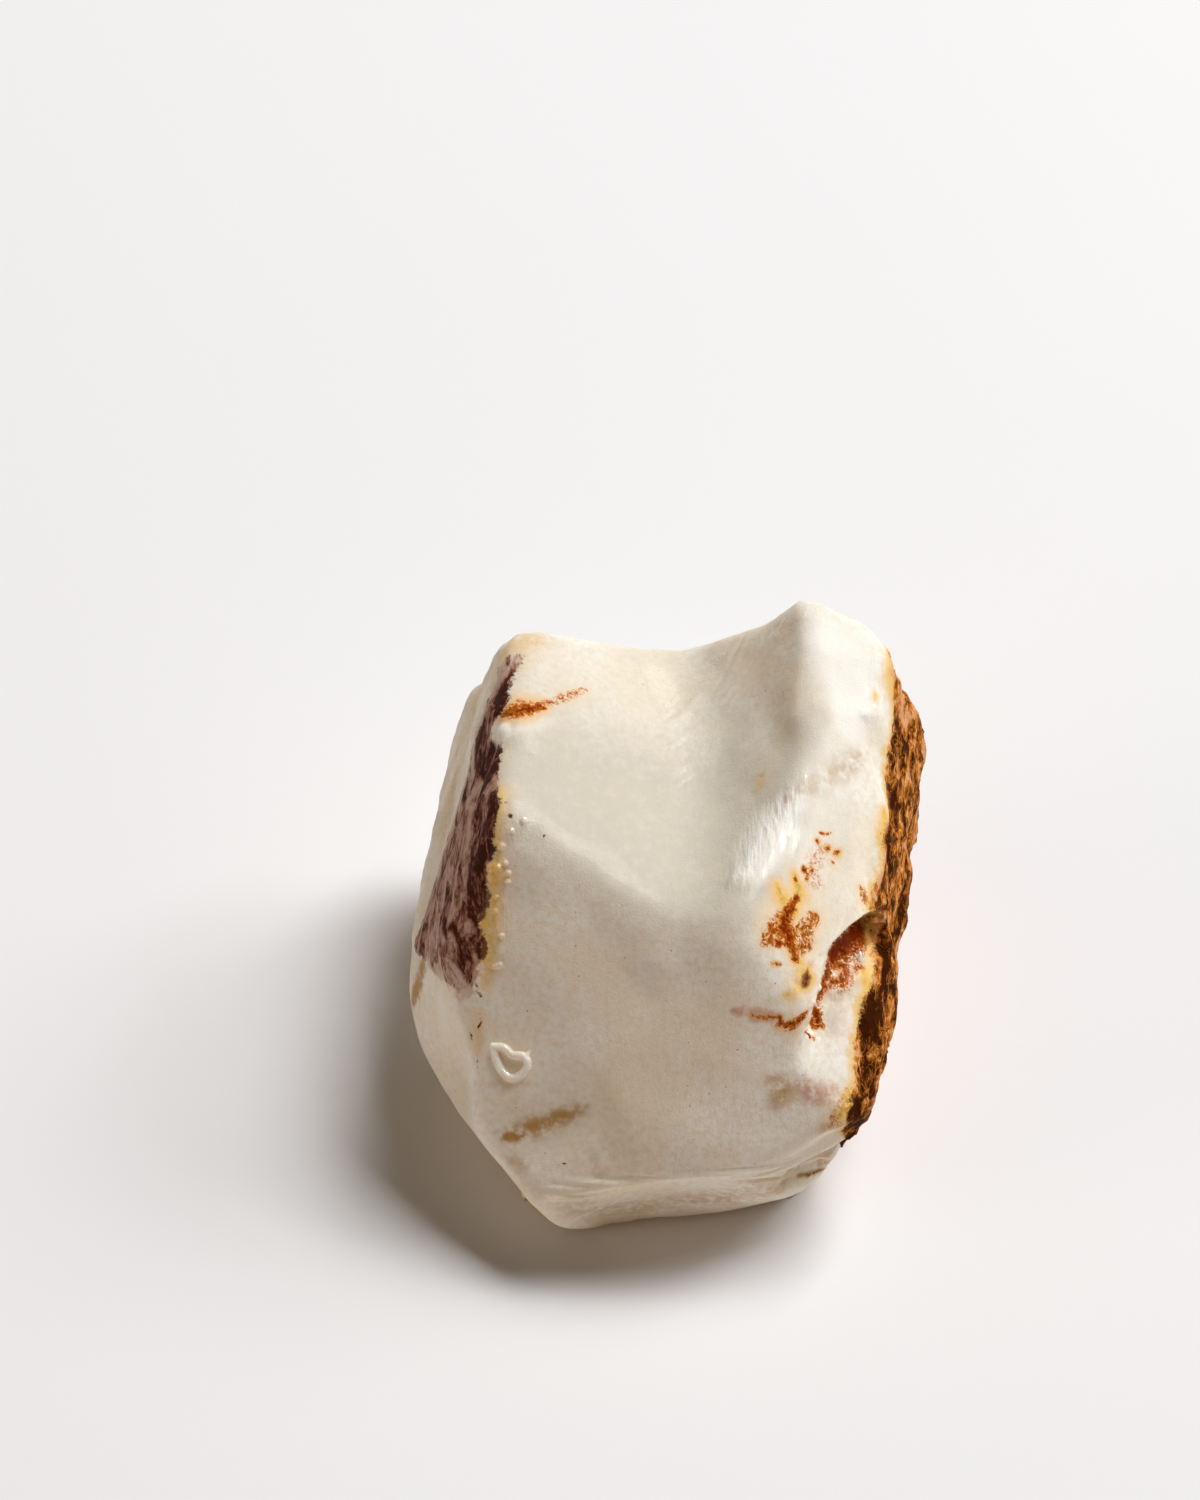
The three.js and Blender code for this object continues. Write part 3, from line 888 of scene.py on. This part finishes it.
class StonePattern(Weaver):
    """The nodes of the stone's colours: the noise that its parts share, and a method for each part."""

    def __init__(self, tree, finish):
        super().__init__(tree)
        self.finish = finish
        object_place = self.add("ShaderNodeTexCoord").outputs["Object"]
        self.place = self.mapped(object_place, Scale=(1 / MM,) * 3)
        turned = self.mapped(self.place, Rotation=(-FIBRE_TILT, 0, 0))
        self.fibre = self.mapped(turned, Scale=FIBRE_SCALE)
        self.clouds = self.noise(self.place, scale=0.16, detail=2, roughness=0.6)
        self.grain = self.noise(self.place, scale=2.2, detail=2, roughness=0.6)
        self.wobble = self.noise(self.place, scale=1.1, detail=2, roughness=0.6)
        self.flecks = self.noise(self.place, scale=3.2, detail=3, roughness=0.65, distortion=0.9)
        self.streaks = self.noise(self.fibre, scale=1.0, detail=4, roughness=0.65, distortion=0.7)
        self.fine = self.noise(self.fibre, scale=5.0, detail=1, roughness=0.6)
        self.dark = self.attribute("dark")
        self.side = self.attribute("side")

    def opal(self):
        """Clouds of cream and milk with dark pores, and a mask of sparkles."""
        finish = self.finish
        colour = self.mix(self.step(self.clouds, 0.35, 0.65), opaque(finish.cream), opaque(finish.milk_and_light))
        grainy = opaque(blended(finish.cream, finish.tan, 0.15))
        colour = self.mix(self.step(self.grain, 0.3, 0.9), colour, grainy)
        cells = self.add("ShaderNodeTexVoronoi", {"Vector": self.place, "Scale": 0.9})
        chance = self.add("ShaderNodeSeparateColor", {"Color": cells.outputs["Color"]}).outputs[0]
        dots = self.step(cells.outputs["Distance"], 0.08, 0.03)
        pores = self.maths("MULTIPLY", dots, self.maths("LESS_THAN", chance, 0.45))
        sparkles = self.maths("SUBTRACT", dots, pores)
        colour = self.mix(self.maths("MULTIPLY", pores, 0.5), colour, opaque(finish.dark_rust))
        return colour, sparkles

    def soft_stains_and_light(self, colour):
        """A colour with the broad marks over it: painted shade on the top, whitening that is partly the opal's
        own and partly painted light, tan and pink that are partly painted shade, and the glow round rust.
        """
        finish = self.finish
        patches = self.times_add(self.wobble, 0.6, 0.68)
        # painted shade on the top, broken into patches
        painted_top_shade = self.maths("MULTIPLY", self.attribute("painted_top_shade"), patches, clamp=True)
        colour = self.mix(painted_top_shade, colour, opaque(finish.top_shade_beige))
        # whitening, partly the opal's own white and partly painted light
        milk_and_light = self.step(self.attribute("milk_and_light"), 0.0, 0.8)
        colour = self.mix(milk_and_light, colour, opaque(finish.milk_and_light))
        # tan and pink, partly painted shade
        for name, stain, most in (("tan", finish.tan, 0.9), ("pink_and_shade", finish.pink_and_shade, 0.75)):
            broken = self.maths("MULTIPLY", self.attribute(name), self.step(self.wobble, 0.1, 0.65))
            share = self.maths("MULTIPLY", self.step(broken, 0.0, 0.75), most)
            colour = self.mix(share, colour, opaque(stain))
        glow = self.maths("MULTIPLY", self.step(self.attribute("glow"), 0.0, 0.8), 0.9)
        return self.mix(glow, colour, opaque(finish.glow))

    def strong_stains_and_shade(self, colour):
        """A colour with gum, rust and dark specks over it, each broken up by flecks; some of the dark is
        painted shade.
        """
        finish = self.finish
        pale_gum = blended(finish.gum, finish.cream, 0.45)
        brown_gum = blended(finish.gum, finish.dark_rust, 0.7)
        ochre = self.frayed(self.attribute("ochre"), self.flecks, 0.9)
        ochre_colour = self.ramp(ochre, ((0.1, pale_gum), (0.5, finish.gum), (1.0, brown_gum)))
        colour = self.mix(self.step(ochre, 0.05, 0.5), colour, ochre_colour)

        pale_rust = blended(finish.rust, finish.glow, 0.5)
        rust = self.frayed(self.attribute("rust"), self.flecks, 2.4)
        rust_colour = self.ramp(rust, ((0.1, pale_rust), (0.4, finish.rust), (0.85, finish.dark_rust)))
        colour = self.mix(self.step(rust, 0.04, 0.44), colour, rust_colour)

        # dark specks, and painted shade by the gum and under the ledge
        specks_and_shade = self.frayed(self.attribute("specks_and_shade"), self.flecks, 1.3)
        specks_and_shade_colour = blended(finish.bark, finish.dark_rust, 0.4)
        return self.mix(self.step(specks_and_shade, 0.1, 0.55), colour, opaque(specks_and_shade_colour))

    def left_rock(self):
        """Host rock on the left: dark flecks along the fibres, thinning to a pale band and the foot."""
        finish = self.finish
        tone = self.times_add(self.fine, 1.6, self.times_add(self.dark, 1.9, -5.75))
        tone = self.times_add(self.streaks, 7.5, tone)
        pale = opaque(blended(finish.cream, finish.ash, 0.4))
        ground = self.mix(self.step(self.dark, 0.1, 0.8), pale, opaque(finish.ash))
        flecked = self.ramp(tone, ((0.0, finish.wine), (1.0, finish.plum)))
        return self.mix(self.step(tone, -1.2, 0.8), ground, flecked)

    def right_rock(self):
        """Host rock on the right: dark pits between ribs of gold."""
        finish = self.finish
        waves = self.noise(self.fibre, scale=2.1, detail=1, roughness=0.5, distortion=1.2)
        ribs = self.step(self.maths("ABSOLUTE", self.times_add(waves, 2.0, -1.0)), 0.16, 0.0)
        tone = self.times_add(ribs, 0.35, self.times_add(self.dark, -0.6, -1.92))
        tone = self.times_add(self.clouds, 1.3, self.times_add(self.streaks, 4.0, tone))
        brown = blended(finish.bark, finish.gold, 0.3)
        pale_gold = blended(finish.gold, finish.cream, 0.28)
        return self.ramp(tone, ((0.1, finish.bark), (0.4, brown), (0.75, finish.gold), (1.0, pale_gold)))

    def covered(self, colour):
        """A colour with the host rock over it and gum round the rock's edge, and a mask of the rock."""
        fraying = self.times_add(self.flecks, 0.9, self.times_add(self.wobble, 0.9, -0.9))
        edge = self.times_add(fraying, 1.1, self.attribute("skin"))
        cover = self.step(edge, -0.1, 0.2)
        fringe = self.maths("MULTIPLY", self.step(edge, -0.9, 0.05), self.times_add(self.side, 0.75, 0.12))
        colour = self.mix(fringe, colour, opaque(self.finish.gum))
        rock = self.mix(self.side, self.left_rock(), self.right_rock())
        return self.mix(cover, colour, rock), cover

    def surface(self, cover, sparkles):
        """The outputs for how rough and glossy the stone is, and for the fine relief of opal and rock."""
        wet = self.step(self.attribute("wet"), 0.0, 0.5)
        glossy = self.attribute("gloss")
        runs = self.noise(self.mapped(self.place, Scale=RUN_SCALE), scale=1.0, detail=2, roughness=0.6)
        shine = self.maths("MULTIPLY", glossy, self.step(runs, 0.44, 0.6))
        opal_rough = self.times_add(shine, -0.35, self.times_add(self.grain, 0.2, 0.42))
        rock_rough = self.times_add(self.fine, 0.35, 0.45)
        roughness = self.between(wet, self.between(cover, opal_rough, rock_rough), WET_ROUGHNESS)
        dry = self.times_add(shine, 0.9, self.times_add(cover, -0.08, 0.08))
        gloss = self.maths("MAXIMUM", self.maths("MAXIMUM", dry, wet), sparkles)

        sugar = self.noise(self.place, scale=6.0, detail=1, roughness=0.6)
        run_height = self.maths("MULTIPLY", runs, self.times_add(glossy, 0.26, 0.03))
        opal_height = self.times_add(sugar, 0.03, run_height)
        rock_height = self.times_add(self.streaks, 0.3, self.maths("MULTIPLY", self.fine, 0.12))
        rock_height = self.maths("MULTIPLY", rock_height, self.times_add(self.side, 0.75, 0.25))
        heights = {"Opal height": opal_height, "Rock height": rock_height}
        return {"Roughness": roughness, "Gloss": gloss, **heights}


def stone_colours(finish):
    """The node group that colours the stone: opal, stain marks, painted light and shade, and host rock, with
    gloss and relief to match.
    """
    tree = bpy.data.node_groups.new("stone colours", "ShaderNodeTree")
    tree.interface.new_socket(name="Colour", in_out="OUTPUT", socket_type="NodeSocketColor")
    for name in ("Roughness", "Gloss", "Opal height", "Rock height"):
        tree.interface.new_socket(name=name, in_out="OUTPUT", socket_type="NodeSocketFloat")
    pattern = StonePattern(tree, finish)
    colour, sparkles = pattern.opal()
    colour = pattern.strong_stains_and_shade(pattern.soft_stains_and_light(colour))
    colour, cover = pattern.covered(colour)
    pattern.add("NodeGroupOutput", {"Colour": colour, **pattern.surface(cover, sparkles)})
    return tree


def stone_material(name, colours, height_name, subsurface, specular):
    """A material of the stone: the shared colours, on a waxy opal or on dry host rock."""
    material = bpy.data.materials.new(name)
    material.use_nodes = True
    weave = Weaver(material.node_tree)
    shader = material.node_tree.nodes["Principled BSDF"]
    group = weave.add("ShaderNodeGroup", node_tree=colours)
    relief_inputs = {"Height": group.outputs[height_name], "Distance": MM, "Strength": 1.0}
    bump = weave.add("ShaderNodeBump", relief_inputs)
    links = material.node_tree.links
    links.new(group.outputs["Colour"], shader.inputs["Base Color"])
    links.new(group.outputs["Roughness"], shader.inputs["Roughness"])
    links.new(group.outputs["Gloss"], shader.inputs["Coat Weight"])
    links.new(bump.outputs["Normal"], shader.inputs["Normal"])
    shader.subsurface_method = "BURLEY"
    shader.inputs["IOR"].default_value = 1.45
    shader.inputs["Specular IOR Level"].default_value = specular
    shader.inputs["Coat Roughness"].default_value = 0.08
    shader.inputs["Subsurface Weight"].default_value = subsurface
    shader.inputs["Subsurface Radius"].default_value = (1.0, 0.72, 0.48)
    shader.inputs["Subsurface Scale"].default_value = 0.55 * MM
    return material


class OPAL_OT_stone(bpy.types.Operator):
    """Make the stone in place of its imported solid"""

    bl_idname = "opal.stone"
    bl_label = "Make the stone"

    def execute(self, context):
        finish = context.scene.opal_finish
        stone = bpy.data.objects.new("rough_opal", stone_mesh(finish))
        context.scene.collection.objects.link(stone)
        colours = stone_colours(finish)
        opal = stone_material("milky opal", colours, "Opal height", subsurface=0.8, specular=0.2)
        rock = stone_material("host rock", colours, "Rock height", subsurface=0.0, specular=0.03)
        stone.data.materials.append(opal)
        stone.data.materials.append(rock)
        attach(stone, "root")
        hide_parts("opal")
        return {"FINISHED"}


# The stage.
def floor_material(colour):
    """A pale floor with the faintest cloudiness."""
    material = bpy.data.materials.new("pale floor")
    material.use_nodes = True
    weave = Weaver(material.node_tree)
    place = weave.add("ShaderNodeTexCoord").outputs["Object"]
    clouds = weave.noise(place, 30.0, 3)
    shade = weave.mix(clouds, opaque(colour), opaque(blended(colour, (1, 1, 1), 0.06)))
    shader = material.node_tree.nodes["Principled BSDF"]
    material.node_tree.links.new(shade, shader.inputs["Base Color"])
    shader.inputs["Roughness"].default_value = 0.9
    shader.inputs["Specular IOR Level"].default_value = 0.1
    return material


def add_area_light(scene, name, power, colour, size, place, aim):
    """A soft light of a given width and height that looks from a place at a point, all in mm."""
    light = bpy.data.lights.new(name, "AREA")
    light.energy = power
    light.color = colour
    light.shape = "RECTANGLE"
    light.size = size[0] * MM
    light.size_y = size[1] * MM
    lamp = bpy.data.objects.new(name, light)
    scene.collection.objects.link(lamp)
    lamp.location = place * MM
    lamp.rotation_euler = (aim - place).to_track_quat("-Z", "Y").to_euler()
    return lamp


def add_camera(scene):
    """The photograph's camera."""
    camera = bpy.data.cameras.new("photo camera")
    camera.lens = LENS
    camera.sensor_width = SENSOR
    camera.clip_end = 20
    holder = bpy.data.objects.new("photo camera", camera)
    scene.collection.objects.link(holder)
    holder.location = EYE * MM
    holder.rotation_euler = FORWARD.to_track_quat("-Z", "Y").to_euler()
    scene.camera = holder


class OPAL_OT_stage(bpy.types.Operator):
    """Set the floor, the lights and the camera"""

    bl_idname = "opal.stage"
    bl_label = "Set the stage"

    def execute(self, context):
        scene = context.scene
        stage = scene.opal_stage
        bm = bmesh.new()
        bmesh.ops.create_circle(bm, cap_ends=True, radius=stage.floor_radius, segments=96)
        mesh = bpy.data.meshes.new("floor")
        bm.to_mesh(mesh)
        bm.free()
        mesh.materials.append(floor_material(stage.floor))
        floor = bpy.data.objects.new("floor", mesh)
        scene.collection.objects.link(floor)

        for name, power, colour, size, place in (
            ("window", stage.window, (0.98, 0.99, 1.0), (640, 480), Vector((530, 540, 1200))),
            ("side window", stage.side_window, (0.98, 0.99, 1.0), (560, 420), Vector((1010, 480, 870))),
            ("fill", stage.fill, (1.0, 0.62, 0.34), (900, 300), Vector((100, -1370, 260))),
            ("left fill", stage.left_fill, (1.0, 0.83, 0.66), (600, 400), Vector((-1340, -330, 330))),
        ):
            add_area_light(scene, name, power, colour, size, place, Vector((0, 0, 10)))
        world = bpy.data.worlds.new("room")
        world.use_nodes = True
        background = world.node_tree.nodes["Background"]
        background.inputs["Color"].default_value = (1.0, 0.78, 0.6, 1)
        background.inputs["Strength"].default_value = stage.room
        scene.world = world
        scene.view_settings.view_transform = "Standard"
        add_camera(scene)
        return {"FINISHED"}


class OPAL_PT_panel(bpy.types.Panel):
    """The stone's and the stage's values, and what makes them"""

    bl_idname = "OPAL_PT_panel"
    bl_label = "Rough opal"
    bl_space_type = "VIEW_3D"
    bl_region_type = "UI"
    bl_category = "Opal"

    def draw(self, context):
        scene = context.scene
        for values, operator in ((scene.opal_finish, OPAL_OT_stone), (scene.opal_stage, OPAL_OT_stage)):
            column = self.layout.column()
            for name in values.__annotations__:
                column.prop(values, name)
            column.operator(operator.bl_idname)


CLASSES = (OpalFinish, OpalStage, OPAL_OT_stone, OPAL_OT_stage, OPAL_PT_panel)


def register():
    for cls in CLASSES:
        bpy.utils.register_class(cls)
    bpy.types.Scene.opal_finish = PointerProperty(type=OpalFinish)
    bpy.types.Scene.opal_stage = PointerProperty(type=OpalStage)


def unregister():
    del bpy.types.Scene.opal_stage
    del bpy.types.Scene.opal_finish
    for cls in reversed(CLASSES):
        bpy.utils.unregister_class(cls)


def main():
    register()
    bpy.ops.opal.stone()
    bpy.ops.opal.stage()


if __name__ == "__main__":
    main()
